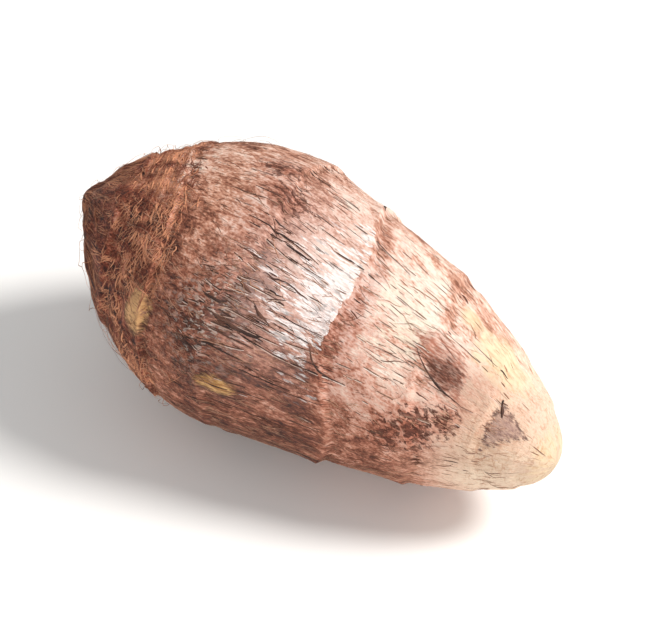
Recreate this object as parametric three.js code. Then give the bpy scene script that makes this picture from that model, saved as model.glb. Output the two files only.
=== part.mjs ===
// A taro root (the corm of Colocasia esculenta), lying on its side.
//
// Units are millimetres and +Z is up. The root's long axis runs along X: the crown, where the leaves grew,
// is at -X, and the narrow foot, which was joined to the mother corm, is at +X. The origin is on the
// surface that the root lies on, under the middle of its bounding box.
//
// The root is one grown piece, so it is one mesh. A point of its skin is given by an age, in millimetres of
// growth from the crown, and by an angle round the axis: 0 degrees is +Y and 90 degrees is up. The skin of
// one age is a slanting ring, because the root grew a little crooked, so the leaf scars slant as well.

import * as THREE from "three";
import { mergeVertices } from "three/addons/utils/BufferGeometryUtils.js";

// ---- Driving dimensions, in millimetres and degrees ----

const LENGTH = 120; // crown to foot, without the bud
const GREATEST_RADIUS = 31;
const GREATEST_STATION = 0.37 * LENGTH;
const CROWN_POWERS = { inner: 2, outer: 0.7 }; // how the outline closes towards the crown
const FOOT_POWERS = { inner: 1.2, outer: 0.54 }; // and towards the foot

const BUD = { length: 3.2, radius: 5, power: 0.65 }; // the dry bud that stands on the crown
const PLEATS = { count: 9, depth: 0.8, from: -2, full: 5, fade: 13, end: 24, sway: 0.6 }; // they run into the bud
const SCAR = { radius: 6, depth: 1 }; // the hollow where the foot broke off the mother corm

const BEND = 1; // how far the axis bows sideways
const LOBES = [
  { waves: 2, share: 0.016, angle: -23 },
  { waves: 3, share: 0.01, angle: 19 },
];
const SWELLS = [
  { waves: 3, height: 0.3, pitch: 47, angle: 70 },
  { waves: 2, height: 0.35, pitch: 31, angle: 215 },
  { waves: 5, height: 0.15, pitch: 23, angle: 130 },
];
const END_RADIUS = 9; // rings and lumps die away where the root is thinner than this

const PITCH = 7; // the foot end dips, as the root finds its balance
const FLAT_DEPTH = 0.8; // how much the root is flattened where it lies

// ---- Leaf-scar rings, from the crown to the foot ----
// A ring leans `lean` millimetres further towards the foot on the side at `side` degrees, and it strays
// `stray` millimetres to and fro in waves, one of whose crests is at `crest` degrees.

const RINGS = [
  { age: 6, lean: 1.5, side: 200, crest: 30, stray: 0.3, height: 0.4 },
  { age: 13, lean: 5, side: 198, crest: 80, stray: 0.5, height: 0.5 },
  { age: 25, lean: 10, side: 195, crest: 120, stray: 0.8, height: 0.6 },
  { age: 46, lean: 3, side: 165, crest: 110, stray: 1.2, height: 0.45 },
  { age: 68, lean: 8, side: 190, crest: 95, stray: 1.8, height: 0.7 },
  { age: 87.5, lean: 6, side: 190, crest: 88, stray: 1.2, height: 0.5 },
  { age: 103, lean: 3.5, side: 190, crest: 110, stray: 0.8, height: 0.4 },
  { age: 112, lean: 1.5, side: 190, crest: 40, stray: 0.4, height: 0.3 },
];
const RING_WAVES = 4; // waves round the root
const UNEVEN = { waves: 2, share: 0.3 }; // how a ring's height varies round the root
const RISE = 3.5; // the skin climbs towards a ring over this length
const STEP = 1.8; // and comes down past it over this one
const GROOVE = { share: 0.5, length: 2.5 }; // into a furrow this share of the ring's height

// ---- Side buds, most of them just past a ring ----
// `station` is along the axis, and `long` and `wide` are half sizes along it and round it.

const SIDE_BUDS = [
  { station: 92, angle: 110, long: 5.8, wide: 4.8, height: 1.5 },
  { station: 109, angle: 129, long: 4, wide: 4, height: 0.8 },
  { station: 53.5, angle: 175, long: 5, wide: 2.8, height: 1 },
  { station: 31.5, angle: 163, long: 4, wide: 5.5, height: 1.2 },
  { station: 42, angle: 76, long: 4, wide: 4.4, height: 0.7 },
  { station: 66, angle: 318, long: 4.6, wide: 4, height: 1.5 },
  { station: 50, angle: 236, long: 4, wide: 3.4, height: 1.2 },
  { station: 94, angle: 250, long: 4.4, wide: 4, height: 1.2 },
  { station: 24, angle: 20, long: 4, wide: 3.4, height: 1.2 },
  { station: 85, angle: 22, long: 4, wide: 3.6, height: 1 },
];

// ---- How finely the skin is cut into facets ----

const COLUMNS = 62; // round the axis
const ROW_GAP = 2; // along it, between rings
const RING_ROWS = [0, STEP / 2, STEP, STEP + GROOVE.length / 2]; // rows of each ring's own, past its edge
const BUD_ROWS = 4;
const FOOT_ROWS = 9; // from the last ring to the foot

// ---- Small helpers ----

const radians = THREE.MathUtils.degToRad;
const smooth = THREE.MathUtils.smoothstep;
const lerp = THREE.MathUtils.lerp;

// The shortest signed way from one angle to another, in radians.
function turn(from, to) {
  return Math.atan2(Math.sin(to - from), Math.cos(to - from));
}

// ---- The form ----

// The radius of the plain outline, without rings or lumps.
function outline(station) {
  if (station < 0) {
    const share = Math.min(-station / BUD.length, 1);
    return BUD.radius * (1 - share) ** BUD.power;
  }
  if (station < GREATEST_STATION) {
    const share = 1 - station / GREATEST_STATION;
    const round = (1 - share ** CROWN_POWERS.inner) ** CROWN_POWERS.outer;
    return Math.hypot(GREATEST_RADIUS * round, BUD.radius * (1 - round));
  }
  const share = Math.min((station - GREATEST_STATION) / (LENGTH - GREATEST_STATION), 1);
  return GREATEST_RADIUS * (1 - share ** FOOT_POWERS.inner) ** FOOT_POWERS.outer;
}

// How far towards the foot a ring has got at an angle, next to its age.
function ringLean(ring, angle) {
  const stray = ring.stray * Math.cos(RING_WAVES * (angle - radians(ring.crest)));
  return ring.lean * Math.cos(angle - radians(ring.side)) + stray;
}

// Where the skin of an age crosses an angle. Between two rings, the slant passes from one to the other.
function stationOf(age, angle) {
  let before = { age: 0, lean: 0 };
  for (const ring of RINGS) {
    const next = { age: ring.age, lean: ringLean(ring, angle) };
    if (age < next.age) {
      return age + lerp(before.lean, next.lean, Math.max(0, (age - before.age) / (next.age - before.age)));
    }
    before = next;
  }
  return age + before.lean * (1 - (age - before.age) / (LENGTH - before.age));
}

function ringRelief(age, angle) {
  let relief = 0;
  for (const ring of RINGS) {
    const past = age - ring.age;
    const height = ring.height * (1 + UNEVEN.share * Math.cos(UNEVEN.waves * angle + ring.age));
    const depth = height * GROOVE.share;
    if (past <= 0) {
      relief += height * Math.exp(past / RISE);
    } else if (past < STEP) {
      relief += lerp(height, -depth, smooth(past, 0, STEP));
    } else {
      relief -= depth * Math.exp(-(past - STEP) / GROOVE.length);
    }
  }
  return relief;
}

function sideBudRelief(station, angle) {
  const radius = outline(station);
  let relief = 0;
  for (const bud of SIDE_BUDS) {
    const along = (station - bud.station) / bud.long;
    const round = (radius * turn(radians(bud.angle), angle)) / bud.wide;
    relief += bud.height * Math.exp(-(along ** 2) - round ** 2);
  }
  return relief;
}

function pleatRelief(station, angle) {
  const window = smooth(station, PLEATS.from, PLEATS.full) * (1 - smooth(station, PLEATS.fade, PLEATS.end));
  const sway = PLEATS.sway * Math.sin(2 * angle + 1);
  return PLEATS.depth * window * Math.cos(PLEATS.count * angle + sway);
}

function swellRelief(station, angle) {
  let relief = 0;
  for (const swell of SWELLS) {
    const phase = (Math.PI * station) / swell.pitch - radians(swell.angle);
    relief += swell.height * Math.cos(swell.waves * angle + phase);
  }
  return relief;
}

// A point of the skin, with the axis along X and the crown at x = 0.
function skinPoint(age, angle) {
  const station = stationOf(age, angle);
  const plain = outline(station);
  let lobed = plain;
  for (const lobe of LOBES) {
    lobed += plain * lobe.share * Math.cos(lobe.waves * (angle - radians(lobe.angle)));
  }
  const relief =
    ringRelief(age, angle) +
    sideBudRelief(station, angle) +
    pleatRelief(station, angle) +
    swellRelief(station, angle);
  const radius = lobed + relief * smooth(plain, 0, END_RADIUS);
  const hollow = station > LENGTH / 2 ? SCAR.depth * Math.exp(-((radius / SCAR.radius) ** 2)) : 0;
  return new THREE.Vector3(
    station - hollow,
    radius * Math.cos(angle) + BEND * Math.sin((Math.PI * station) / LENGTH),
    radius * Math.sin(angle),
  );
}

// ---- The mesh ----

// The age of each row of points, from the bud's tip to the foot.
function rowAges() {
  const ages = [];
  for (let i = 0; i < BUD_ROWS; i += 1) {
    ages.push(-BUD.length * Math.cos((Math.PI / 2) * (i / BUD_ROWS)));
  }
  let from = 0;
  for (const ring of RINGS) {
    const rows = Math.max(2, Math.round((ring.age - from) / ROW_GAP));
    for (let i = 0; i < rows; i += 1) {
      ages.push(lerp(from, ring.age, i / rows));
    }
    for (const past of RING_ROWS) {
      ages.push(ring.age + past);
    }
    from = ring.age + RING_ROWS.at(-1) + ROW_GAP / 2;
  }
  for (let i = 0; i <= FOOT_ROWS; i += 1) {
    ages.push(lerp(from, LENGTH, Math.sin((Math.PI / 2) * (i / FOOT_ROWS))));
  }
  return ages;
}

// A unit sphere whose poles become the crown and the foot, with each point moved out to the skin.
function rootGeometry() {
  const ages = rowAges();
  const sphere = new THREE.SphereGeometry(1, COLUMNS, ages.length - 1);
  sphere.deleteAttribute("normal");
  sphere.deleteAttribute("uv");
  const geometry = mergeVertices(sphere);
  const points = geometry.getAttribute("position");
  for (let i = 0; i < points.count; i += 1) {
    const share = Math.acos(THREE.MathUtils.clamp(points.getY(i), -1, 1)) / Math.PI;
    const age = ages[Math.round(share * (ages.length - 1))];
    const angle = Math.atan2(points.getZ(i), points.getX(i));
    const moved = skinPoint(age, angle);
    points.setXYZ(i, moved.x, moved.y, moved.z);
  }
  return geometry;
}

// Dips the foot, lowers the root onto its flat spot and puts the origin under its middle.
function layDown(geometry) {
  geometry.rotateY(radians(PITCH));
  geometry.computeBoundingBox();
  geometry.translate(0, 0, -geometry.boundingBox.min.z - FLAT_DEPTH);
  const points = geometry.getAttribute("position");
  for (let i = 0; i < points.count; i += 1) {
    points.setZ(i, Math.max(points.getZ(i), 0));
  }
  geometry.computeBoundingBox();
  const middle = geometry.boundingBox.getCenter(new THREE.Vector3());
  geometry.translate(-middle.x, -middle.y, 0);
  geometry.computeVertexNormals();
}

const skin = new THREE.MeshStandardMaterial({ color: 0x8a6250, roughness: 0.85, metalness: 0 });

const geometry = rootGeometry();
layDown(geometry);

const corm = new THREE.Mesh(geometry, skin);
corm.name = "corm";

const taroRoot = new THREE.Group();
taroRoot.add(corm);

export default taroRoot;
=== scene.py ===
"""The looks of a taro root that lies on a pale floor.

The root's form is worked out here by the same formulas as in the part's source, on a finer grid, with the
fine relief of its skin added. Fibres lie on it as thin closed strands. A point of the skin is given by an
age, in millimetres of growth from the crown, and by an angle round the axis: 0 is +Y, and a quarter turn is
up. The formulas work in millimetres, and meshes are made in metres.
"""

import math

import bpy
import numpy as np
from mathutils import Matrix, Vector


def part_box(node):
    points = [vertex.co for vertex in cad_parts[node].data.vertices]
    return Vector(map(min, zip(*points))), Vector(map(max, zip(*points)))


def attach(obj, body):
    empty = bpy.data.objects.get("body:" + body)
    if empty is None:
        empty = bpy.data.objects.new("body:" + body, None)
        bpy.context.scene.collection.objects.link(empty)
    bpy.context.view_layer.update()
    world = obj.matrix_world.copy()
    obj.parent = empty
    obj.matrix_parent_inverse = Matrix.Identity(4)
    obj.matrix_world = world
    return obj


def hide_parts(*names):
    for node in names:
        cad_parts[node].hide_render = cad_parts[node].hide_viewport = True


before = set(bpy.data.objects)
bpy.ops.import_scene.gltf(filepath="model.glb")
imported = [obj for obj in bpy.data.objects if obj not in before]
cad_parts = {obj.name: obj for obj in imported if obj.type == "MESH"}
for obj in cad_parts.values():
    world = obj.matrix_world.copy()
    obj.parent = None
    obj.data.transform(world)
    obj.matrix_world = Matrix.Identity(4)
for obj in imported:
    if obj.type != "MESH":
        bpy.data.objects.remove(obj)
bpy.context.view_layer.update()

MM = 0.001

# ---- The form, as in the part's source ----

LENGTH = 120
GREATEST_RADIUS = 31
GREATEST_STATION = 0.37 * LENGTH
CROWN_INNER, CROWN_OUTER = 2, 0.7
FOOT_INNER, FOOT_OUTER = 1.2, 0.54
BUD_LENGTH, BUD_RADIUS, BUD_POWER = 3.2, 5, 0.65
PLEAT_COUNT, PLEAT_DEPTH, PLEAT_SWAY = 9, 0.8, 0.6
PLEAT_STATIONS = (-2, 5, 13, 24)  # where the pleats come, are full, fade and are gone
SCAR_RADIUS, SCAR_DEPTH = 6, 1
BEND = 1
LOBES = [(2, 0.016, -23), (3, 0.01, 19)]  # waves, share of the radius, angle
SWELLS = [(3, 0.3, 47, 70), (2, 0.35, 31, 215), (5, 0.15, 23, 130)]  # waves, height, pitch, angle
END_RADIUS = 9
PITCH = 7

# age, lean, side that it leans to, angle of a crest, how far it strays, height
RINGS = [
    (6, 1.5, 200, 30, 0.3, 0.4),
    (13, 5, 198, 80, 0.5, 0.5),
    (25, 10, 195, 120, 0.8, 0.6),
    (46, 3, 165, 110, 1.2, 0.45),
    (68, 8, 190, 95, 1.8, 0.7),
    (87.5, 6, 190, 88, 1.2, 0.5),
    (103, 3.5, 190, 110, 0.8, 0.4),
    (112, 1.5, 190, 40, 0.4, 0.3),
]
RING_WAVES = 4
UNEVEN_WAVES, UNEVEN_SHARE = 2, 0.3
RISE, STEP = 3.5, 1.8
GROOVE_SHARE, GROOVE_LENGTH = 0.5, 2.5

# station, angle, half length, half width, height
SIDE_BUDS = [
    (92, 110, 5.8, 4.8, 1.5),
    (109, 129, 4, 4, 0.8),
    (53.5, 175, 5, 2.8, 1),
    (31.5, 163, 4, 5.5, 1.2),
    (42, 76, 4, 4.4, 0.7),
    (66, 318, 4.6, 4, 1.5),
    (50, 236, 4, 3.4, 1.2),
    (94, 250, 4.4, 4, 1.2),
    (24, 20, 4, 3.4, 1.2),
    (85, 22, 4, 3.6, 1),
]


def smooth(x, low, high):
    share = np.clip((x - low) / (high - low), 0, 1)
    return share * share * (3 - 2 * share)


def window(x, comes, full, fades, gone):
    """0 up to `comes`, 1 from `full` to `fades`, and 0 again from `gone` on."""
    return smooth(x, comes, full) * (1 - smooth(x, fades, gone))


def turn(start, end):
    """The shortest signed way from one angle to another, in radians."""
    return np.arctan2(np.sin(end - start), np.cos(end - start))


def outline(station):
    """The radius of the plain outline, without rings or lumps."""
    bud = BUD_RADIUS * (1 - np.clip(-station / BUD_LENGTH, 0, 1)) ** BUD_POWER
    to_crown = np.clip(1 - station / GREATEST_STATION, 0, 1)
    roundness = (1 - to_crown**CROWN_INNER) ** CROWN_OUTER
    crown = np.hypot(GREATEST_RADIUS * roundness, BUD_RADIUS * (1 - roundness))
    to_foot = np.clip((station - GREATEST_STATION) / (LENGTH - GREATEST_STATION), 0, 1)
    foot = GREATEST_RADIUS * (1 - to_foot**FOOT_INNER) ** FOOT_OUTER
    return np.where(station < 0, bud, np.where(station < GREATEST_STATION, crown, foot))


def station_of(age, angle):
    """Where along the axis the skin of an age crosses an angle."""
    ages = [0]
    leans = [0 * angle]
    for ring_age, lean, side, crest, stray, _ in RINGS:
        ages.append(ring_age)
        waves = stray * np.cos(RING_WAVES * (angle - math.radians(crest)))
        leans.append(lean * np.cos(angle - math.radians(side)) + waves)
    ages.append(LENGTH)
    leans.append(0 * angle)
    station = age + 0 * angle
    for i in range(len(ages) - 1):
        share = (age - ages[i]) / (ages[i + 1] - ages[i])
        inside = (share >= 0) & (share < 1)
        station = np.where(inside, age + leans[i] + (leans[i + 1] - leans[i]) * share, station)
    return station


def ring_relief(age, angle, raggedness):
    relief = 0 * age
    for ring_age, *_, mean_height in RINGS:
        past = age - ring_age
        height = mean_height * (1 + UNEVEN_SHARE * np.cos(UNEVEN_WAVES * angle + ring_age))
        height = height * (1 + raggedness)
        depth = height * GROOVE_SHARE
        before = height * np.exp(np.minimum(past, 0) / RISE)
        step = height - (height + depth) * smooth(past, 0, STEP)
        after = -depth * np.exp(-np.maximum(past - STEP, 0) / GROOVE_LENGTH)
        relief += np.where(past <= 0, before, np.where(past < STEP, step, after))
    return relief


def around(station, angle, at_station, at_angle, half_length, half_width):
    """1 at a place on the skin, falling off like a bell over the half sizes."""
    along = (station - at_station) / half_length
    across = outline(station) * turn(math.radians(at_angle), angle) / half_width
    return np.exp(-(along**2) - across**2)


def side_bud_relief(station, angle):
    relief = 0 * station
    for at_station, at_angle, half_length, half_width, height in SIDE_BUDS:
        relief += height * around(station, angle, at_station, at_angle, half_length, half_width)
    return relief


def pleat_relief(station, angle):
    sway = PLEAT_SWAY * np.sin(2 * angle + 1)
    return PLEAT_DEPTH * window(station, *PLEAT_STATIONS) * np.cos(PLEAT_COUNT * angle + sway)


def swell_relief(station, angle):
    relief = 0 * station
    for waves, height, pitch, at_angle in SWELLS:
        relief += height * np.cos(waves * angle + math.pi * station / pitch - math.radians(at_angle))
    return relief


def skin_points(age, angle, fine=0, raggedness=0):
    """Points of the skin, with the axis along X and the crown at x = 0. `fine` is added to the relief."""
    station = station_of(age, angle)
    plain = outline(station)
    lobed = plain
    for waves, share, at_angle in LOBES:
        lobed = lobed + plain * share * np.cos(waves * (angle - math.radians(at_angle)))
    relief = ring_relief(age, angle, raggedness)
    relief = relief + side_bud_relief(station, angle)
    relief = relief + pleat_relief(station, angle) + swell_relief(station, angle)
    radius = lobed + (relief + fine) * smooth(plain, 0, END_RADIUS)
    scar = np.where(station > LENGTH / 2, SCAR_DEPTH * np.exp(-((radius / SCAR_RADIUS) ** 2)), 0)
    y = radius * np.cos(angle) + BEND * np.sin(math.pi * station / LENGTH)
    return np.stack([station - scar, y, radius * np.sin(angle)], axis=-1)


def dip(points):
    """Turns the foot end down by the pitch at which the root balances."""
    c, s = math.cos(math.radians(PITCH)), math.sin(math.radians(PITCH))
    x, y, z = points[..., 0], points[..., 1], points[..., 2]
    return np.stack([x * c + z * s, y, z * c - x * s], axis=-1)


# ---- Noise ----

# The grain is taken this far from the axis, and this share of the outline's radius further
GRAIN_REACH, GRAIN_SHARE = 10, 0.65


def lattice_noise(points, seed):
    """Smooth noise from -1 to 1 at points whose cells are one unit across."""
    cell = np.floor(points).astype(np.int64)
    share = points - cell
    share = share * share * (3 - 2 * share)
    total = 0
    # each cell's corner gets a value from 0 to 65535, scattered by large odd numbers
    for corner in range(8):
        offset = np.array([corner & 1, corner >> 1 & 1, corner >> 2 & 1])
        x, y, z = np.moveaxis(cell + offset, -1, 0)
        value = (x * 73856093) ^ (y * 19349663) ^ (z * 83492791) ^ (seed * 2654435761)
        value = (value ^ (value >> 13)) * 1274126177 & 0xFFFFFFFF
        value = (value ^ (value >> 16)) & 0xFFFF
        weight = np.prod(np.where(offset == 1, share, 1 - share), axis=-1)
        total = total + weight * (value / 32767.5 - 1)
    return total


def grain_coordinates(age, angle):
    """Millimetres along the growth and round it, with no seam, for patterns that follow the grain."""
    reach = GRAIN_REACH + GRAIN_SHARE * outline(station_of(age, angle))
    return np.stack([age + 0 * angle, reach * np.cos(angle), reach * np.sin(angle)], axis=-1)


def grain_noise(grain, length, width, seed):
    """Noise whose blotches are `length` along the grain and `width` across it, in millimetres."""
    return lattice_noise(grain / np.array([length, width, width]), seed)


def layered(grain, layers, share=1):
    """Noises added up. A layer is its strength, the length and width of its blotches, and its seed."""
    return sum(strength * grain_noise(grain, *blotches) * share for strength, *blotches in layers)


# ---- Where the skin wears what ----

# Ages, and how thick the dry cover is at them: on the side where it has worn off, and where it is kept
COVER_WORN = [
    (0, 0.8), (12, 0.66), (20, 0.53), (30, 0.43), (44, 0.38), (52, 0.38), (60, 0.26),
    (68, 0.18), (74, 0.18), (86, 0.14), (87.8, 0.3), (91, 0.16), (120, 0.12),
]
COVER_KEPT = [
    (0, 0.84), (12, 0.76), (22, 0.68), (30, 0.6), (46, 0.55), (55, 0.62), (64, 0.58), (68.6, 0.42),
    (74, 0.34), (86, 0.42), (88, 0.48), (92, 0.36), (101, 0.26), (112, 0.16), (120, 0.12),
]
KEPT_SIDE = 205  # the middle of the side that has kept it, in degrees
KEPT_EDGE = (0.3, 0.85)  # where near_kept_side is between these, one side passes into the other

# Angle and half width of a side, the ages at which more cover comes, is full, fades and is gone, and how much
MORE_COVER_AND_SHADE = [
    (48, 22, 66, 72, 100, 110, 0.23),
    # partly painted shade: this row darkens the lower side, turned from the key light
    (210, 36, 30, 45, 82, 97, 0.19),
    (78, 16, 84, 88, 94, 100, 0.11),
    (80, 13, 67, 68.5, 71, 74, 0.18),
    (115, 10, 68, 69, 71, 73, 0.06),
    (136, 13, 65, 67.5, 69.5, 71.5, 0.17),
    (20, 45, 20, 28, 38, 56, 0.14),
]
# station, angle, half length, half width, and how much more cover, or less
COVER_AND_SHADE_SPOTS = [
    (21, 99, 9, 12, -0.21), (43, 119, 6, 7, 0.07), (60, 148, 6, 17, -0.16), (42, 139, 4, 7, -0.12),
    # the spots at stations 29, 46 and 81 are partly painted shade on the side turned from the key light
    (91, 139, 6, 8, -0.16), (46, 170, 12, 13, 0.13), (29, 134, 9, 11, 0.14), (50, 126, 4, 6, 0.1),
    (53, 137, 4, 5, 0.14), (53, 92, 5, 9, 0.09), (70, 160, 5, 8, 0.13), (81, 189, 8, 11, 0.11),
    (80, 154, 5, 6, -0.09), (65, 169, 4, 5, -0.12),
]

# Ages, and how white the skin is at them: before a ring, and past it
WHITE_BAND = [(38, 0), (46, 0.2), (52, 0.28), (57, 0.46), (63, 0.74), (68.1, 1), (68.5, 0)]
PALE_BAND = [(71.5, 0), (74.5, 0.68), (84, 0.64), (90, 0)]
WHITE_JAGS = (60, 2.4, 22)  # length, width and seed of the noise that makes the bands' edges ragged

# The middle and the half width, in degrees, of the sides that wear a thing
WHITE_SIDES = [(121, 38), (310, 32)]
PALE_SIDES = [(109, 40), (300, 34)]
VEILED_SIDES = [(118, 34), (305, 32)]
HATCHED_SIDES = [(152, 48), (330, 48)]
LINED_SIDES = [(118, 45), (305, 45)]
LINED_ELSEWHERE = 0.3  # how lined the other sides are
# On this side the white band loses this share between these ages, a little before its ring
BROWN_SIDE, BROWN_AGES, BROWN_SHARE = [(149, 9)], (64.2, 66.4), 0.9

# Ages at which a thing comes, is full, fades and is gone
MATTED_AGES = (9, 17, 24, 31)
VEILED_AGES = (42, 54, 64, 68)
DASHED_AGES = (70, 74, 88, 96)
HATCHED_AGES = (90, 98, 108, 116)
# Ages or stations between which a thing comes or goes
CROWN_GOES = (18, 34)
LINES_COME = (32, 46)
LINES_THIN = [(70, 90, 0.5), (98, 106, 0.8)]  # and by what share
WHITE_HIDES = 0.85  # this share of the lines
FOOT_COMES = (95, 110)
CREAM_COMES, TIP_CREAM = (111, 120), 0.6  # and how creamy the tip gets

# station, angle, half length, half width, strength
SCARS = [(31.5, 163, 3.8, 6.2, 1), (53.5, 175, 5.2, 2.6, 1)]
MOTTLES = [
    (94.3, 156, 3.4, 4.4, 1), (98.6, 145, 2.6, 2.8, 1), (89, 166, 4, 4.5, 0.5),
    (41, 77, 5, 4, 0.7), (48, 91, 5, 3.5, 0.7),
]
PINK_SPOTS = [(77.5, 119, 3.5, 9, 0.3)]  # they take some of the white away
TAN_SPOTS = [(101, 116, 7, 8, 1), (109, 144, 8, 11, 1)]
YELLOW_SPOTS = [(100.5, 76, 7.5, 6.5, 1), (91, 70, 3, 2.5, 1)]
# painted light: a lighter straw patch on the flank of the foot that is turned from the key light
STRAW_AND_LIGHT_SPOTS = [(110, 183, 9, 12, 1)]
DEEP_SPOTS = [(94.3, 117, 4.8, 3.6, 1)]  # the dark lower end of the bud scar
SHADED_SPOTS = [(48, 149, 8, 11, 1)]  # where the cover is darkest, and most lined
SHADED_COVER = 0.13  # how much more cover there is in it
# The stations and angles of the corners of two scars, and how many millimetres their edges take
BUD_SCAR = [(87.6, 116), (92.1, 124), (99.2, 128), (97.2, 106), (93.5, 97), (88, 99), (85.4, 107)]
CORNER_SCAR = [(106, 107), (107.2, 151), (113.9, 122)]
BUD_SCAR_EDGE, CORNER_SCAR_EDGE = 2, 1.5

# Strength, length, width and seed of noises. The relief of the skin is in millimetres.
SKIN_RELIEF = [(0.16, 9, 6, 1), (0.1, 7, 1.6, 2), (0.07, 3, 0.9, 3)]
CROWN_RELIEF = [(0.25, 14, 2.2, 4), (0.14, 6, 1.1, 5)]
MATTED_RELIEF = [(0.35, 1.6, 7, 9), (0.2, 0.9, 3, 10)]
COVER_SWAY = [(0.35, 4, 1.3, 6)]
COVER_EDGE, COVER_HEIGHT = (0.4, 0.6), 0.12  # cover that is thicker than this stands this much proud
RING_SWAY = [(0.3, 30, 1.4, 7), (0.3, 30, 4, 8)]
CREAM_SMOOTHS = 0.6  # how much of the skin's relief


def curve(age, pairs):
    ages, values = zip(*pairs)
    return np.interp(age, ages, values)


def facing(angle, sides):
    """1 where the skin faces one of the sides, falling off like a bell."""
    near = 0 * angle
    for at_angle, half in sides:
        near = np.maximum(near, np.exp(-((turn(math.radians(at_angle), angle) / math.radians(half)) ** 2)))
    return near


def within(station, angle, corners, soft):
    """From 1 at `soft` millimetres inside a patch with straight sides to 0 as far outside it."""
    stations, angles = zip(*corners)
    middle = sum(angles) / len(angles)
    radius = outline(np.mean(stations))
    depth = soft + 0 * station
    for i in range(len(corners)):
        along, across = stations[i] - stations[i - 1], radius * math.radians(angles[i] - angles[i - 1])
        past = station - stations[i - 1]
        beside = radius * (turn(math.radians(middle), angle) - math.radians(angles[i - 1] - middle))
        depth = np.minimum(depth, (across * past - along * beside) / math.hypot(along, across))
    return np.clip(0.5 + 0.5 * depth / soft, 0, 1)


def spots(station, angle, places):
    """The strongest of some spots on the skin, each of which falls off like a bell."""
    near = 0 * station
    for *place, strength in places:
        near = np.maximum(near, strength * around(station, angle, *place))
    return near


def near_kept_side(angle):
    """1 in the middle of the side that has kept its cover, and 0 right across from it."""
    return (1 + np.cos(angle - math.radians(KEPT_SIDE))) / 2


def cover_thickness(age, angle, station, kept):
    """How thick the dry cover is, from 0 to 1 or a little past either, with some painted shade on the lower
    side added as more cover.
    """
    cover = curve(age, COVER_WORN) * (1 - kept) + curve(age, COVER_KEPT) * kept
    for at_angle, half, *ages, amount in MORE_COVER_AND_SHADE:
        cover = cover + amount * window(age, *ages) * facing(angle, [(at_angle, half)])
    for *place, amount in COVER_AND_SHADE_SPOTS:
        cover = cover + amount * around(station, angle, *place)
    return cover


def whiteness(age, angle, station):
    """How much of the bare white skin shows in the bands by the rings."""
    jagged = age + np.abs(grain_noise(grain_coordinates(age, angle), *WHITE_JAGS))
    white = curve(jagged, WHITE_BAND) * facing(angle, WHITE_SIDES)
    white = np.maximum(white, curve(jagged, PALE_BAND) * facing(angle, PALE_SIDES))
    white = white * (1 - BROWN_SHARE * smooth(age, *BROWN_AGES) * facing(angle, BROWN_SIDE))
    return np.maximum(white - spots(station, angle, PINK_SPOTS), 0)


def skin_fields(age, angle, station):
    """What the material and the strands go by at each point. All but `cover` are numbers from 0 to 1."""
    kept = smooth(near_kept_side(angle), *KEPT_EDGE)
    shaded = spots(station, angle, SHADED_SPOTS)
    white = whiteness(age, angle, station)
    bud = within(station, angle, BUD_SCAR, BUD_SCAR_EDGE)
    corner = within(station, angle, CORNER_SCAR, CORNER_SCAR_EDGE)
    cream = np.maximum(TIP_CREAM * smooth(station, *CREAM_COMES), spots(station, angle, YELLOW_SPOTS))
    lined = smooth(age, *LINES_COME)
    for *ages, share in LINES_THIN:
        lined = lined * (1 - share * smooth(age, *ages))
    lined = lined * (LINED_ELSEWHERE + (1 - LINED_ELSEWHERE) * facing(angle, LINED_SIDES))
    return {
        "cover": cover_thickness(age, angle, station, kept) + SHADED_COVER * shaded,
        "white": white,
        "cream": np.clip(cream * (1 - bud) * (1 - corner), 0, 1),
        "bud": bud,
        "deep": spots(station, angle, DEEP_SPOTS),
        "corner": corner,
        "scar": spots(station, angle, SCARS),
        "crown": 1 - smooth(age, *CROWN_GOES),
        "band": window(age, *MATTED_AGES),
        "foot": smooth(station, *FOOT_COMES),
        "straw": spots(station, angle, STRAW_AND_LIGHT_SPOTS),
        "tan": spots(station, angle, TAN_SPOTS),
        "veil": window(age, *VEILED_AGES) * facing(angle, VEILED_SIDES),
        "lined": np.maximum(lined, shaded) * (1 - WHITE_HIDES * white),
        "dashed": window(age, *DASHED_AGES) * facing(angle, PALE_SIDES),
        "hatched": window(age, *HATCHED_AGES) * facing(angle, HATCHED_SIDES),
        "shaded": shaded,
        "mottle": spots(station, angle, MOTTLES),
        "kept": kept,
    }


def fine_relief(age, angle, fields):
    """The fine relief of the skin in millimetres, and how ragged the rings' edges are."""
    grain = grain_coordinates(age, angle)
    fine = layered(grain, SKIN_RELIEF, 1 - CREAM_SMOOTHS * fields["cream"])
    fine += fields["crown"] * layered(grain, CROWN_RELIEF)
    fine += fields["band"] * layered(grain, MATTED_RELIEF)
    fine += COVER_HEIGHT * smooth(fields["cover"] + layered(grain, COVER_SWAY), *COVER_EDGE)
    return fine, layered(grain, RING_SWAY)


# ---- Meshes ----


def new_object(name, points, faces, material, smooth_shaded=True):
    """An object from points in metres and an array of faces with equally many corners."""
    mesh = bpy.data.meshes.new(name)
    count, corners = faces.shape
    mesh.vertices.add(len(points))
    mesh.vertices.foreach_set("co", points.astype(np.float32).ravel())
    mesh.loops.add(count * corners)
    mesh.loops.foreach_set("vertex_index", faces.astype(np.int32).ravel())
    mesh.polygons.add(count)
    mesh.polygons.foreach_set("loop_start", np.arange(0, count * corners, corners, dtype=np.int32))
    mesh.polygons.foreach_set("use_smooth", np.full(count, smooth_shaded))
    mesh.update(calc_edges=True)
    mesh.validate()
    mesh.materials.append(material)
    piece = bpy.data.objects.new(name, mesh)
    bpy.context.scene.collection.objects.link(piece)
    return piece


VECTORS = ("FLOAT_VECTOR", "vector")


def add_field(mesh, name, values, kind="FLOAT", part="value"):
    """Gives each point of a mesh a number or a vector."""
    attribute = mesh.attributes.new(name, kind, "POINT")
    attribute.data.foreach_set(part, values.astype(np.float32).ravel())


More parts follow.
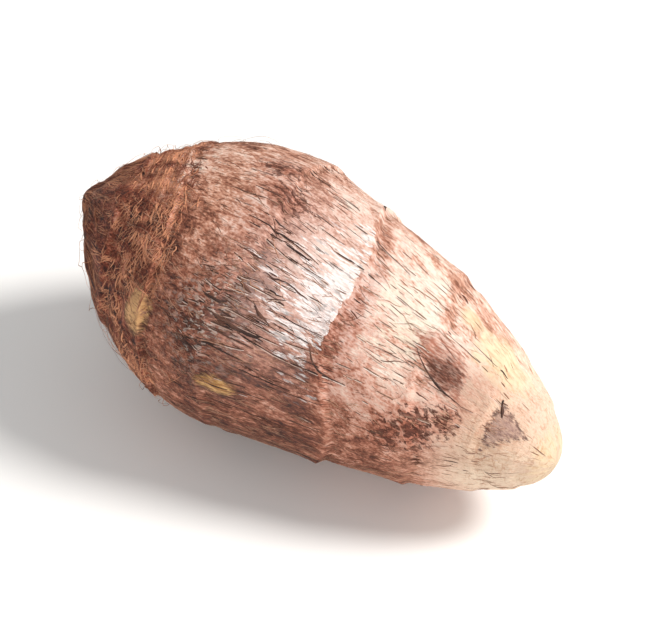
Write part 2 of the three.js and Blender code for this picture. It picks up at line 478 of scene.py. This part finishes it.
SKIN_COLUMNS = 432
ROW_GAP = 0.62
END_CROWDING = 0.25  # how much closer together the rows are at the two ends
RING_ROWS = np.array([-0.2, 0, 0.2, 0.4, 0.6, 0.8, 1, 1.2])  # rows of each ring's own, in shares of its step
RING_CLEARANCE = 0.8  # other rows keep this share of the step from its middle


def skin_ages():
    """The age of each row, closer together at the rings' edges and at the two ends."""
    reach = LENGTH + BUD_LENGTH
    steps = np.linspace(0, 1, int(reach / ROW_GAP))
    crowded = (1 - np.cos(math.pi * steps)) / 2
    ages = -BUD_LENGTH + reach * ((1 - END_CROWDING) * steps + END_CROWDING * crowded)
    for ring_age, *_ in RINGS:
        ages = ages[np.abs(ages - ring_age - STEP / 2) > STEP * RING_CLEARANCE]
        ages = np.append(ages, ring_age + STEP * RING_ROWS)
    return np.sort(ages)


class Placement:
    """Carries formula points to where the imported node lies."""

    def __init__(self, points):
        low, high = (np.array(corner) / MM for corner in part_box("corm"))
        dipped = dip(points)
        middle = (dipped.min((0, 1)) + dipped.max((0, 1))) / 2
        self.shift = np.array([
            (low[0] + high[0]) / 2 - middle[0],
            (low[1] + high[1]) / 2 - middle[1],
            high[2] - dipped[..., 2].max(),
        ])

    def place(self, points, lowest=0):
        placed = dip(points) + self.shift
        placed[..., 2] = np.maximum(placed[..., 2], lowest)
        return placed * MM


def make_skin(material):
    ages = skin_ages()
    angles = np.arange(SKIN_COLUMNS) / SKIN_COLUMNS * 2 * math.pi
    age, angle = np.meshgrid(ages, angles, indexing="ij")
    fields = skin_fields(age, angle, station_of(age, angle))
    placement = Placement(skin_points(age, angle))
    points = placement.place(skin_points(age, angle, *fine_relief(age, angle, fields)))

    rows, columns = age.shape
    index = np.arange(rows * columns).reshape(rows, columns)
    beside = np.roll(index, -1, axis=1)
    quads = np.stack([index[:-1], index[1:], beside[1:], beside[:-1]], axis=-1).reshape(-1, 4)
    skin = new_object("skin", points.reshape(-1, 3), quads, material)
    add_field(skin.data, "grain", grain_coordinates(age, angle), *VECTORS)
    for name, values in fields.items():
        add_field(skin.data, name, values)
    return skin, placement


# ---- Strands ----

REACH_ALONG, REACH_ROUND = 0.4, 0.01  # millimetres and radians over which the skin's direction is taken
LOWEST = 0.05  # strands keep this far over the floor, in millimetres
LEAST_RADIUS = 3  # where the root is thinner, strands turn as if it were this thick
END_MARGINS = (0.3, 0.5)  # millimetres that strands keep from the crown's tip and from the foot
SINK = 0.05  # how far under the skin a strand starts
SHADES, SHADE_LAYERS = 0.6, [(0.7, 5, 1.8, 21)]  # how much the tone differs between strands, and along one
SCAR_LIMIT = 0.25  # the crown's strands start where there is less scar than this
# A strand tapers as a power of a sine, over this part of its half wave, and keeps this share of its width
TAPER_FROM, TAPER_SPAN, TAPER_POWER, TAPER_LEAST = 0.12, 0.8, 0.8, 0.35


def surface_at(age, angle):
    """Points of the skin, with its fine relief, and the directions out of it."""
    fields = skin_fields(age, angle, station_of(age, angle))
    points = skin_points(age, angle, *fine_relief(age, angle, fields))
    along = skin_points(age + REACH_ALONG, angle) - skin_points(age - REACH_ALONG, angle)
    across = skin_points(age, angle + REACH_ROUND) - skin_points(age, angle - REACH_ROUND)
    out = np.cross(across, along)
    out /= np.linalg.norm(out, axis=-1, keepdims=True)
    return points, out


def unit(vectors):
    return vectors / (np.linalg.norm(vectors, axis=-1, keepdims=True) + 1e-9)


def make_strands(name, material, placement, ages, angles, heights, widths, flatness):
    """Thin closed strands. The arrays hold one row for each strand and one column for each point along it."""
    points, out = surface_at(ages, angles)
    spine = points + out * heights[..., None]
    side = unit(np.cross(unit(np.gradient(spine, axis=1)), out))
    half = widths[..., None] / 2
    corners = [spine + side * half, spine - side * half, spine + out * (half * flatness)]
    strands, steps = ages.shape
    placed = placement.place(np.stack(corners, axis=2).reshape(-1, 3), lowest=LOWEST)

    base = (np.arange(strands * steps) * 3).reshape(strands, steps)
    faces = []
    for k in range(3):
        here, there = base[:, :-1] + k, base[:, :-1] + (k + 1) % 3
        faces.append(np.stack([here, there, there + 3], axis=-1).reshape(-1, 3))
        faces.append(np.stack([here, there + 3, here + 3], axis=-1).reshape(-1, 3))
    start, end = base[:, 0], base[:, -1]
    faces.append(np.stack([start, start + 2, start + 1], axis=-1))
    faces.append(np.stack([end, end + 1, end + 2], axis=-1))
    piece = new_object(name, placed, np.concatenate(faces), material)

    grain = grain_coordinates(ages, angles)
    random = np.random.default_rng(len(name))
    shade = 0.5 + SHADES * (random.random((strands, 1)) - 0.5)
    shade = shade + layered(grain, SHADE_LAYERS)
    add_field(piece.data, "shade", np.repeat(np.clip(shade, 0, 1), 3))
    add_field(piece.data, "grain", np.repeat(grain.reshape(-1, 3), 3, axis=0), *VECTORS)
    return piece


def all_round(random, count):
    return random.uniform(0, 2 * math.pi, count)


def lying_strands(random, steps, starts, lie, wander):
    """Rows of ages, angles and heights for strands that lie along the skin.

    `starts` is their ages and angles, and `lie` is their headings, lengths and greatest heights. A heading is
    0 towards the foot and a quarter turn round the root, and `wander` bends it along the way, in radians.
    """
    start_ages, start_angles = starts
    heading, length, arch = (values[:, None] for values in lie)
    share = np.linspace(0, 1, steps)[None, :]
    bend = random.normal(0, wander, heading.shape)
    twist = random.normal(0, wander * 0.7, heading.shape)
    direction = heading + bend * share + twist * np.sin(2.5 * math.pi * share)
    step = length / (steps - 1)
    radius = np.maximum(outline(station_of(start_ages, start_angles)), LEAST_RADIUS)[:, None]
    ages = start_ages[:, None] + np.cumsum(np.cos(direction) * step, axis=1)
    angles = start_angles[:, None] + np.cumsum(np.sin(direction) * step / radius, axis=1)
    ages = np.clip(ages, -BUD_LENGTH + END_MARGINS[0], LENGTH - END_MARGINS[1])
    return ages, angles, arch * np.sin(math.pi * share) ** 0.7 - SINK * (1 - share)


def tapered(random, count, steps, width, spread):
    """Rows of widths along strands that are thickest near the middle."""
    share = np.linspace(0, 1, steps)[None, :]
    widths = width * np.exp(random.normal(0, spread, (count, 1)))
    curved = np.sin(math.pi * (TAPER_FROM + TAPER_SPAN * share)) ** TAPER_POWER
    return widths * (TAPER_LEAST + (1 - TAPER_LEAST) * curved)


def off_scars(ages, angles):
    """The starts that don't lie on a bud scar."""
    stays = skin_fields(ages, angles, station_of(ages, angles))["scar"] < SCAR_LIMIT
    return ages[stays], angles[stays]


def thinned(random, ages, angles, chance):
    """The starts that are left when each stays by its chance."""
    stays = random.random(len(ages)) < chance
    return ages[stays], angles[stays]


def draw_crown_fibres(random):
    """Strands of old leaf bases: they run into the bud, and lie round the root at the edge of the crown."""
    tries = 3600
    ages = 29 * random.random(tries) ** 0.7
    ages, angles = off_scars(ages, all_round(random, tries))
    count = len(ages)
    heading = math.pi + 0.25 - 1.55 * smooth(ages, 9, 19) + random.normal(0, 0.2, count)
    length = random.uniform(2.5, 8, count)
    arch = np.abs(random.normal(0, 0.06, count))
    return (ages, angles), (heading, length, arch)


def draw_crown_band(random):
    """Coarse strands that lie round the root at the edge of the crown, matted together."""
    tries = 2400
    ages = random.normal(20.5, 4.2, tries)
    ages, angles = off_scars(ages, all_round(random, tries))
    count = len(ages)
    heading = math.pi / 2 + random.normal(0, 0.33, count)
    length = random.uniform(0.8, 3.4, count)
    arch = np.abs(random.normal(0, 0.1, count))
    return (ages, angles), (heading, length, arch)


def draw_stray_hairs(random):
    """A few hairs that have come loose from the crown and stand off it."""
    count = 170
    ages = random.uniform(2, 34, count)
    angles = all_round(random, count)
    heading = all_round(random, count)
    arch = random.uniform(0.4, 1.6, count)
    length = random.uniform(4, 10, count)
    return (ages, angles), (heading, length, arch)


# The age of a ring, and how many strands hang from it
FRINGES = [(25, 300), (46, 120), (68, 80), (87.5, 90), (103, 40)]


def draw_ring_fringes(random):
    """Short strands that hang from each ring towards the foot."""
    ages, angles, lengths = [], [], []
    for ring_age, count in FRINGES:
        ages.append(ring_age + random.normal(0.6, 0.5, count))
        angles.append(all_round(random, count))
        lengths.append(random.uniform(1, 2.8, count))
    ages, angles, lengths = (np.concatenate(part) for part in (ages, angles, lengths))
    heading = random.normal(0, 0.2, len(ages))
    arch = np.abs(random.normal(0.02, 0.08, len(ages)))
    return (ages, angles), (heading, lengths, arch)


# Ages, and the share of the skin hairs that stays at them on the kept side
HAIR_CHANCES = [(0, 1), (30, 0.9), (50, 0.6), (70, 0.45), (90, 0.25), (105, 0.08), (112, 0.05)]


def draw_skin_hairs(random):
    """Fine hairs that lie along the grain where the root has kept its cover."""
    tries = 3000
    ages = random.uniform(8, 112, tries)
    angles = all_round(random, tries)
    chance = curve(ages, HAIR_CHANCES) * (0.35 + 0.65 * near_kept_side(angles))
    ages, angles = thinned(random, ages, angles, chance)
    count = len(ages)
    heading = random.normal(0, 0.3, count) + math.pi * (random.random(count) < 0.5)
    length = random.uniform(2, 8, count)
    arch = np.abs(random.normal(0.02, 0.14, count))
    return (ages, angles), (heading, length, arch)


def draw_nap(random):
    """The short fine nap of the cover, which lies towards the crown."""
    tries = 16000
    ages = random.uniform(22, 92, tries)
    angles = all_round(random, tries)
    cover = skin_fields(ages, angles, station_of(ages, angles))["cover"]
    ages, angles = thinned(random, ages, angles, smooth(cover, 0.2, 0.75))
    count = len(ages)
    heading = math.pi + random.normal(0, 0.35, count)
    arch = np.abs(random.normal(0, 0.05, count))
    length = random.uniform(0.8, 2.6, count)
    return (ages, angles), (heading, length, arch)


# Of each kind of strand: its fibre, the seed and the function of its draws, the points along it, how far it
# wanders in radians, its width and how much that spreads, and its thickness as a share of half its width
STRANDS = {
    "crown_fibres": ("coarse", 11, draw_crown_fibres, 7, 0.25, 0.17, 0.4, 0.45),
    "crown_band": ("coarse", 14, draw_crown_band, 7, 0.5, 0.22, 0.45, 0.5),
    "stray_hairs": ("coarse", 18, draw_stray_hairs, 10, 0.6, 0.11, 0.2, 0.8),
    "ring_fringes": ("fine", 12, draw_ring_fringes, 5, 0.3, 0.2, 0.35, 0.6),
    "skin_hairs": ("fine", 13, draw_skin_hairs, 6, 0.3, 0.11, 0.3, 0.7),
    "nap": ("fine", 17, draw_nap, 4, 0.3, 0.1, 0.3, 0.6),
}


def lay_strands(fibres, placement, name):
    """One piece, of all the strands of a kind."""
    fibre, seed, draw, steps, wander, width, spread, flatness = STRANDS[name]
    random = np.random.default_rng(seed)
    starts, lie = draw(random)
    strands = lying_strands(random, steps, starts, lie, wander)
    widths = tapered(random, len(starts[0]), steps, width, spread)
    return make_strands(name, fibres[fibre], placement, *strands, widths, flatness)


# Lines of dark fibre: the name of a piece, the seed of its draws, its fibre, the field that says where its
# lines lie, their first and last age, the gaps between them along and across the grain, their length and
# width, and how much their headings differ, in radians
LINES = [
    ("long_lines", 15, "dark", "lined", (30, 60), (5.5, 2), 7.5, 0.27, 0.05),
    ("short_lines", 16, "brown", "lined", (30, 116), (4.2, 1.8), 2.6, 0.17, 0.07),
    ("crossed_lines", 19, "dark", "shaded", (36, 64), (2.4, 1.0), 2.8, 0.27, 0.2),
    ("dashes", 20, "brown", "dashed", (70, 95), (4.0, 1.6), 3.6, 0.22, 0.04),
    ("foot_lines", 23, "tan", "hatched", (90, 115), (2.6, 1.0), 2.6, 0.14, 0.05),
]
LINE_STEPS, LINE_WANDER, LINE_FLATNESS = 7, 0.07, 0.3
LENGTH_SPREAD, WIDTH_SPREAD = 0.4, 0.28
LINE_SWAY = (0.5, 0.4)  # how far lines stray from their lattice, as shares of its gaps
# the pale strands beside lines are painted highlights on the lifted lips of the cracks
HIGHLIGHT_SHARE = 0.45  # the share of the lines that have a pale edge, in the middle of a lined side
EDGE_OFFSET, EDGE_WIDTH, EDGE_FLATNESS = 0.9, 0.7, 0.5  # in widths of a line, and then as STRANDS gives it


def line_starts(random, field, first, last, gap_along, gap_across):
    """Starts of lines that lie side by side along the grain: a loose lattice, thinned by a field."""
    ages, angles = [], []
    for age in np.arange(first, last, gap_along):
        count = int(2 * math.pi * outline(age) / gap_across)
        ages.append(age + random.uniform(-LINE_SWAY[0], LINE_SWAY[0], count) * gap_along)
        places = np.arange(count) + random.uniform(-LINE_SWAY[1], LINE_SWAY[1], count)
        angles.append(places / count * 2 * math.pi)
    ages, angles = np.concatenate(ages), np.concatenate(angles)
    fields = skin_fields(ages, angles, station_of(ages, angles))
    return thinned(random, ages, angles, fields[field] * (1 - fields["bud"]) * (1 - fields["corner"]))


def make_lines(fibres, placement, name, seed, fibre, field, reach, gaps, length, width, scatter):
    """Dark fibres that lie flat along the grain, side by side, some of them with a pale edge beside them."""
    random = np.random.default_rng(seed)
    starts = line_starts(random, field, *reach, *gaps)
    count = len(starts[0])
    heading = random.normal(0, scatter, count)
    lengths = length * np.exp(random.normal(0, LENGTH_SPREAD, count))
    arch = np.abs(random.normal(0.02, 0.02, count))
    ages, angles, heights = lying_strands(random, LINE_STEPS, starts, (heading, lengths, arch), LINE_WANDER)
    widths = tapered(random, count, LINE_STEPS, width, WIDTH_SPREAD)
    lines = make_strands(name, fibres[fibre], placement, ages, angles, heights, widths, LINE_FLATNESS)
    # painted highlight: a pale strand beside some lines stands for light on the lifted lip of the crack
    highlighted = random.random(count) < HIGHLIGHT_SHARE * facing(angles[:, 0], LINED_SIDES)
    radius = np.maximum(outline(station_of(ages, angles)), LEAST_RADIUS)
    beside = angles + EDGE_OFFSET * width / radius
    shine = [values[highlighted] for values in (ages, beside, heights, widths * EDGE_WIDTH)]
    return lines, make_strands(name + "_edges", fibres["pale"], placement, *shine, EDGE_FLATNESS)


# Creases of the skin and one painted shadow line, each by the ages and angles of its start, middle and end,
# and its width
CREASES_AND_SHADOW_LINE = [
    ((86, 115), (91.3, 124.5), (98, 129.5), 0.36),
    # painted shadow: a dark strand along the shade under the lip of the ring at 68
    ((66, 142), (67.6, 148), (71, 151), 0.6),
    ((35, 99), (39, 98), (43, 97), 0.35),
    ((41.5, 107), (48, 107), (55, 106), 0.35),
    ((50.5, 124), (56, 123), (61.5, 124), 0.35),
    ((44, 146), (50.5, 148), (57, 148), 0.9),
    ((41.5, 141), (45.5, 141.5), (48, 140), 0.55),
    ((46.8, 130), (48.6, 132), (51, 133), 0.8),
    ((52.8, 137), (55, 139), (57.2, 141), 0.6),
    ((105, 105), (105.6, 112), (106.4, 120), 0.9),
    ((102.6, 86), (103.7, 85.5), (104.8, 84.5), 0.5),
    ((66.8, 44), (67.8, 48), (68.6, 53), 0.45),
]
CREASE_STEPS, CREASE_HEIGHT, CREASE_FLATNESS = 31, 0.06, 0.2
CREASE_TAPER = 0.8  # how much thinner the ends are
CREASE_BLOTCHES = (1.6, 1.6, 25)  # length, width and seed of the noise that makes them uneven
CREASE_UNEVEN = dict(along=0.25, round=0.012, width=0.6)  # millimetres, radians and share of the width


def make_creases_and_shadow_line(material, placement):
    """Dark creases, and a painted shadow line, each on a parabola through its start, middle and end."""
    share = np.linspace(-1, 1, CREASE_STEPS)
    ages, angles, widths = [], [], []
    for start, middle, end, width in CREASES_AND_SHADOW_LINE:
        for values, k in ((ages, 0), (angles, 1)):
            bow = (start[k] + end[k]) / 2 - middle[k]
            values.append(middle[k] + (end[k] - start[k]) / 2 * share + bow * share**2)
        widths.append(width * (1 - CREASE_TAPER * share**2))
    ages, angles, widths = np.array(ages), np.radians(angles), np.array(widths)
    uneven = grain_noise(grain_coordinates(ages, angles), *CREASE_BLOTCHES)
    ages = ages + CREASE_UNEVEN["along"] * uneven
    angles = angles + CREASE_UNEVEN["round"] * uneven
    widths = widths * (1 + CREASE_UNEVEN["width"] * uneven)
    heights = np.full(ages.shape, CREASE_HEIGHT)
    return make_strands("creases", material, placement, ages, angles, heights, widths, CREASE_FLATNESS)


# ---- Materials ----


def colour(hex_code):
    """A linear colour from the usual six digits."""
    channels = [int(hex_code[i : i + 2], 16) / 255 for i in (0, 2, 4)]
    return [c / 12.92 if c <= 0.04045 else ((c + 0.055) / 1.055) ** 2.4 for c in channels] + [1]


class Paint:
    """A material, with short calls for the nodes that paint it."""

    def __init__(self, name):
        self.material = bpy.data.materials.new(name)
        self.material.use_nodes = True
        self.tree = self.material.node_tree
        self.shader = self.tree.nodes["Principled BSDF"]
        self.grain = self.attribute("grain", "Vector")

    def put(self, value, socket):
        if isinstance(value, bpy.types.NodeSocket):
            self.tree.links.new(value, socket)
        else:
            socket.default_value = value

    def node(self, kind, inputs, output=0, **settings):
        """One of the outputs of a new node."""
        node = self.tree.nodes.new("ShaderNode" + kind)
        for name, value in settings.items():
            setattr(node, name, value)
        for name, value in inputs.items():
            self.put(value, node.inputs[name])
        return node.outputs[output]

    def attribute(self, name, output="Fac"):
        return self.node("Attribute", {}, output, attribute_name=name)

    def noise(self, length, width, detail=2, roughness=0.5, distortion=0, shift=0):
        """Noise along the grain, in blotches of the given length and width in millimetres."""
        scale = (1 / length, 1 / width, 1 / width)
        moved = (shift, shift * 1.7, -shift)
        place = self.node("VectorMath", {0: self.grain, 1: scale, 2: moved}, operation="MULTIPLY_ADD")
        inputs = {"Vector": place, "Scale": 1, "Detail": detail, "Roughness": roughness}
        return self.node("TexNoise", {**inputs, "Distortion": distortion})

    def math(self, operation, a, b=0.0):
        return self.node("Math", {0: a, 1: b}, operation=operation)

    def add(self, a, b):
        return self.math("ADD", a, b)

    def times(self, a, b):
        return self.math("MULTIPLY", a, b)

    def between(self, value, low, high, to_low=0.0, to_high=1.0):
        """Turns low to high into to_low to to_high, smoothly."""
        inputs = {"Value": value, "From Min": low, "From Max": high, "To Min": to_low, "To Max": to_high}
        return self.node("MapRange", inputs, interpolation_type="SMOOTHSTEP")

    def uneven(self, share, noise, low, high, at_low=0.0, at_high=1.0):
        """A share of something, times `at_low` where a noise is low and `at_high` where it is high."""
        return self.times(share, self.between(noise, low, high, at_low, at_high))

    def patch(self, field, noise, raggedness, soft):
        """A crisp, ragged patch where a smooth field passes a half."""
        sway = self.times(self.add(noise, -0.5), self.between(field, 0, 0.3, 0, raggedness))
        return self.between(self.add(field, sway), 0.5 - soft, 0.5 + soft)

    def mix(self, share, a, b, blend="MIX"):
        return self.node("Mix", {0: share, 6: a, 7: b}, 2, data_type="RGBA", blend_type=blend)

    def tint(self, share, a, b):
        """Darkens a colour by another, as a wash would."""
        return self.mix(share, a, b, "MULTIPLY")

    def weigh(self, *parts):
        """Adds noises up, each taken from its middle and times its weight."""
        total = 0.0
        for noise, weight in parts:
            total = self.add(total, self.times(self.add(noise, -0.5), weight))
        return total

    def rim(self, base, field, noise, most):
        """Darkens the edge of a patch, more in some places than in others."""
        edge = self.uneven(self.between(field, 0.3, 0.48), field, 0.52, 0.75, 1, 0)
        return self.mix(self.uneven(edge, noise, 0.4, 0.6, 0, most), base, DARK)

    def ramp(self, value, stops):
        result = self.node("ValToRGB", {0: value})
        elements = result.node.color_ramp.elements
        while len(elements) < len(stops):
            elements.new(0.5)
        for element, (place, tone) in zip(elements, stops):
            element.position = place
            element.color = colour(tone)
        return result

    def finish(self, base, roughness, height, depth):
        """Joins colour, roughness and a height in millimetres to the shader."""
        self.put(base, self.shader.inputs["Base Color"])
        self.put(roughness, self.shader.inputs["Roughness"])
        bump = self.node("Bump", {"Strength": 1, "Distance": depth * MM, "Height": height})
        self.put(bump, self.shader.inputs["Normal"])
        return self.material


COVER_TONES = [  # from bare skin to the thickest cover
    (0.0, "EBDCCC"), (0.25, "E2BFAD"), (0.45, "C28F77"), (0.62, "945F48"), (0.8, "683A29"), (1.0, "3A1A10"),
]
WHITE = colour("EDE7E5")
SMOKE = colour("958D8A")
IVORY = colour("D8CCB8")
VEIL = colour("C4ABA4")
TAN = colour("D6C4BA")
YELLOW = colour("DDCAA2")
BEIGE = colour("D9BBA2")
STRAW = colour("EBDDC6")
FRECKLE = colour("CC9576")
MAUVE = colour("98604C")
DUSK = colour("94766C")
GREY = colour("C0B4AA")
RED = colour("D08A68")
WARM_SHADE = colour("DD9A76")
LILAC = colour("D0C6CE")
OCHRE = colour("A0713A")
GOLD = colour("CFA36A")
PALE_GOLD = colour("E6B684")
UMBER = colour("4B2213")
DARK = colour("2B1510")


def skin_material():
    paint = Paint("taro_skin")
    crown = paint.attribute("crown")
    dashed = paint.attribute("dashed")
    edge = paint.noise(5, 3, detail=4, roughness=0.6, shift=5)
    smooth_skin = paint.patch(paint.attribute("cream"), edge, 1.6, 0.4)

    # the patterns that it is painted with
    blotch = paint.noise(8, 5, detail=3)
    crumb = paint.noise(2.4, 1.5, detail=3, roughness=0.6)
    grit = paint.noise(0.7, 0.45, detail=2)
    streak = paint.noise(9, 1.0, detail=3, roughness=0.6)
    thread = paint.noise(4, 0.33, detail=2, roughness=0.6, distortion=0.3)
    wound = paint.noise(1.3, 8, detail=3, shift=9)
    wave = paint.noise(0.8, 3, detail=2, distortion=1, shift=19)
    shred = paint.noise(3, 0.9, detail=4, roughness=0.65)
    speckle = paint.noise(1.6, 0.9, detail=3, roughness=0.7, shift=3)
    fleck = paint.noise(1.7, 1.0, detail=3, roughness=0.6, shift=17)
    smudge = paint.noise(4.5, 1.5, detail=3, roughness=0.6, distortion=0.3, shift=29)
    stroke = paint.noise(4, 0.6, detail=3, roughness=0.6, distortion=0.4, shift=23)
    split = paint.noise(3.6, 0.42, detail=1, shift=11)
    clump = paint.noise(1.5, 1.0, detail=3, roughness=0.65, shift=13)

    # how thick the dry cover of old leaf bases is, from bare skin to shreds of fibre, with painted shade on
    # the lower side
    strands = paint.weigh((streak, 0.9), (thread, 0.9))
    strands = paint.times(strands, paint.between(crown, 0, 1, 0.5, 1))
    texture = paint.add(paint.weigh((blotch, 0.9), (crumb, 0.95), (grit, 0.75)), strands)
    texture = paint.uneven(texture, smooth_skin, 0, 1, 1, 0.5)
    texture = paint.add(texture, paint.times(paint.weigh((wound, 1.4)), paint.attribute("band")))
    base = paint.ramp(paint.add(paint.attribute("cover"), texture), COVER_TONES)
    base = paint.tint(paint.times(crown, 0.7), base, RED)
    # painted shade: the kept side, turned from the key light, is washed warmer and darker
    base = paint.tint(paint.times(paint.attribute("kept"), 0.35), base, WARM_SHADE)
    base = paint.tint(paint.times(paint.attribute("lined"), 0.7), base, LILAC)
    pale = paint.uneven(paint.attribute("shaded"), fleck, 0.5, 0.6)
    base = paint.mix(paint.times(pale, 0.65), base, GREY)

    # the bands of bare skin by the rings
    base = paint.mix(paint.times(paint.attribute("veil"), 0.45), base, VEIL)
    white = paint.patch(paint.attribute("white"), streak, 2.6, 0.12)
    whitest = paint.mix(dashed, WHITE, IVORY)
    base = paint.mix(paint.uneven(white, thread, 0.35, 0.6, 0.95, 0.5), base, whitest)
    smudge = paint.times(paint.between(smudge, 0.53, 0.62, 0, 0.75), paint.between(dashed, 0, 0.5, 1, 0))
    base = paint.mix(paint.times(white, smudge), base, SMOKE)

    # the foot, and the smooth skin at its tip
    foot = paint.uneven(paint.attribute("foot"), blotch, 0.35, 0.6, 0.85, 0.4)
    base = paint.mix(foot, base, BEIGE)
    # straw streaks over the foot, and a lighter straw patch on its shaded flank that is painted light
    straw = paint.add(paint.attribute("straw"), paint.uneven(foot, streak, 0.54, 0.68))
    base = paint.mix(paint.times(paint.math("MINIMUM", straw, 1.0), 0.7), base, STRAW)
    base = paint.tint(paint.uneven(foot, thread, 0.54, 0.68, 0, 0.5), base, FRECKLE)
    base = paint.mix(paint.times(smooth_skin, 0.75), base, YELLOW)
    base = paint.tint(paint.uneven(foot, wave, 0.5, 0.66, 0, 0.5), base, FRECKLE)
    base = paint.tint(paint.uneven(smooth_skin, crumb, 0.48, 0.7, 0, 0.45), base, FRECKLE)
    base = paint.tint(paint.uneven(smooth_skin, streak, 0.5, 0.7, 0, 0.4), base, FRECKLE)
    base = paint.tint(paint.uneven(paint.attribute("tan"), crumb, 0.35, 0.65, 1, 0.6), base, TAN)

    # bud scars
    bud = paint.patch(paint.attribute("bud"), shred, 2.4, 0.2)
    base = paint.mix(paint.uneven(bud, stroke, 0.36, 0.62, 1, 0.3), base, MAUVE)
    deep = paint.patch(paint.attribute("deep"), shred, 1.8, 0.3)
    base = paint.mix(paint.uneven(deep, thread, 0.42, 0.62, 0.95, 0.5), base, UMBER)
    corner = paint.patch(paint.attribute("corner"), speckle, 1.8, 0.12)
    base = paint.mix(paint.uneven(corner, shred, 0.35, 0.65, 0.95, 0.5), base, DUSK)
    base = paint.mix(paint.uneven(corner, speckle, 0.5, 0.64, 0, 0.5), base, UMBER)
    base = paint.rim(base, paint.attribute("corner"), speckle, 0.5)
    scar = paint.patch(paint.attribute("scar"), shred, 0.8, 0.15)
    golden = paint.mix(paint.between(shred, 0.42, 0.58), OCHRE, GOLD)
    golden = paint.mix(paint.times(crown, 0.8), golden, PALE_GOLD)
    base = paint.mix(paint.times(scar, 0.85), base, golden)
    base = paint.rim(base, paint.attribute("scar"), speckle, 0.7)

    # short dark cracks along the grain, and dark mottles
    limit = paint.between(paint.attribute("lined"), 0, 1, 0.85, 0.67)
    cracks = paint.between(split, limit, paint.add(limit, 0.05))
    base = paint.mix(paint.times(cracks, 0.7), base, DARK)
    base = paint.tint(paint.times(paint.attribute("mottle"), 0.7), base, RED)
    mottle = paint.patch(paint.attribute("mottle"), clump, 6, 0.25)
    base = paint.mix(paint.uneven(mottle, speckle, 0.35, 0.6, 0.6, 1), base, UMBER)

    height = paint.add(paint.weigh((crumb, 0.6), (grit, 0.3)), strands)
    height = paint.uneven(height, smooth_skin, 0, 1, 1, 0.45)
    height = paint.add(height, paint.times(cracks, -0.5))
    roughness = paint.between(smooth_skin, 0, 1, 0.85, 0.6)
    return paint.finish(base, roughness, height, 0.5)


# Of each kind of fibre: its darkest and its lightest tone, and the length of its stripes in millimetres
FIBRES = {
    "coarse": ("6A2E1B", "D0906C", 6),
    "fine": ("5C3425", "B98A70", 4),
    "dark": ("2A1610", "5E3D2F", 4),
    "brown": ("422A1E", "876753", 4),
    "tan": ("7E5541", "BE9A80", 4),
    "pale": ("AE8C7C", "E6D6CC", 4),
}
STRIPE_WIDTH, FIBRE_ROUGHNESS, FIBRE_DEPTH = 0.3, 0.85, 0.05


def strand_material(kind):
    darkest, lightest, length = FIBRES[kind]
    paint = Paint(kind + "_fibre")
    shade = paint.attribute("shade")
    stripe = paint.noise(length, STRIPE_WIDTH, detail=2)
    share = paint.between(paint.add(shade, paint.add(stripe, -0.5)), 0, 1)
    base = paint.mix(share, colour(darkest), colour(lightest))
    return paint.finish(base, FIBRE_ROUGHNESS, stripe, FIBRE_DEPTH)


FLOOR_TONE, FLOOR_ROUGHNESS = (0.93, 0.93, 0.92, 1), 0.9


def floor_material():
    paint = Paint("pale_floor")
    paint.put(FLOOR_TONE, paint.shader.inputs["Base Color"])
    paint.put(FLOOR_ROUGHNESS, paint.shader.inputs["Roughness"])
    return paint.material


# ---- The stage ----

VIEW_AZIMUTH, VIEW_ELEVATION = 34.7, 42
VIEW_DISTANCE = 0.65
VIEW_TARGET = Vector((0.0012, 0.0008, 0.029))
VIEW_WIDTH = 0.137  # how much of the scene the frame spans at the target
SENSOR = 36
FLOOR_REACH = 3  # metres from the middle to a side
# name, place, width, watts and tint
LIGHTS = [
    ("key", (0.75, 0.45, 1.0), 0.5, 20, (1, 0.965, 0.93)),
    ("fill", (0.8, -1.1, 0.6), 1.0, 8, (1, 0.98, 0.96)),
]
ROOM_STRENGTH = 0.45


def make_floor():
    points = FLOOR_REACH * np.array([[-1, -1, 0], [1, -1, 0], [1, 1, 0], [-1, 1, 0]])
    floor = new_object("floor", points, np.array([[0, 1, 2, 3]]), floor_material(), False)


def make_camera():
    azimuth, elevation = math.radians(VIEW_AZIMUTH), math.radians(VIEW_ELEVATION)
    back = Vector((
        math.sin(azimuth) * math.cos(elevation),
        -math.cos(azimuth) * math.cos(elevation),
        math.sin(elevation),
    ))
    data = bpy.data.cameras.new("camera")
    data.sensor_width = SENSOR
    data.lens = SENSOR * VIEW_DISTANCE / VIEW_WIDTH
    camera = bpy.data.objects.new("camera", data)
    camera.location = VIEW_TARGET + back * VIEW_DISTANCE
    camera.rotation_euler = back.to_track_quat("Z", "Y").to_euler()
    bpy.context.scene.collection.objects.link(camera)
    bpy.context.scene.camera = camera


def area_light(name, place, size, watts, tint):
    data = bpy.data.lights.new(name, "AREA")
    data.shape = "DISK"
    data.size = size
    data.energy = watts
    data.color = tint
    light = bpy.data.objects.new(name, data)
    light.location = place
    light.rotation_euler = (Vector(place) - VIEW_TARGET).to_track_quat("Z", "Y").to_euler()
    bpy.context.scene.collection.objects.link(light)


def light_scene():
    for light in LIGHTS:
        area_light(*light)
    world = bpy.data.worlds.new("pale_room")
    world.use_nodes = True
    background = world.node_tree.nodes["Background"]
    background.inputs["Color"].default_value = (1, 1, 1, 1)
    background.inputs["Strength"].default_value = ROOM_STRENGTH
    bpy.context.scene.world = world
    bpy.context.scene.view_settings.view_transform = "Standard"


# ---- Everything ----

make_camera()
skin, placement = make_skin(skin_material())
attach(skin, "root")
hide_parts("corm")

fibres = {kind: strand_material(kind) for kind in FIBRES}
pieces = []
for name in ("crown_fibres", "crown_band", "stray_hairs", "ring_fringes"):
    pieces.append(lay_strands(fibres, placement, name))
for row in LINES:
    pieces += make_lines(fibres, placement, *row)
pieces += [
    lay_strands(fibres, placement, "nap"),
    make_creases_and_shadow_line(fibres["dark"], placement),
    lay_strands(fibres, placement, "skin_hairs"),
]
for piece in pieces:
    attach(piece, "root")

make_floor()
light_scene()
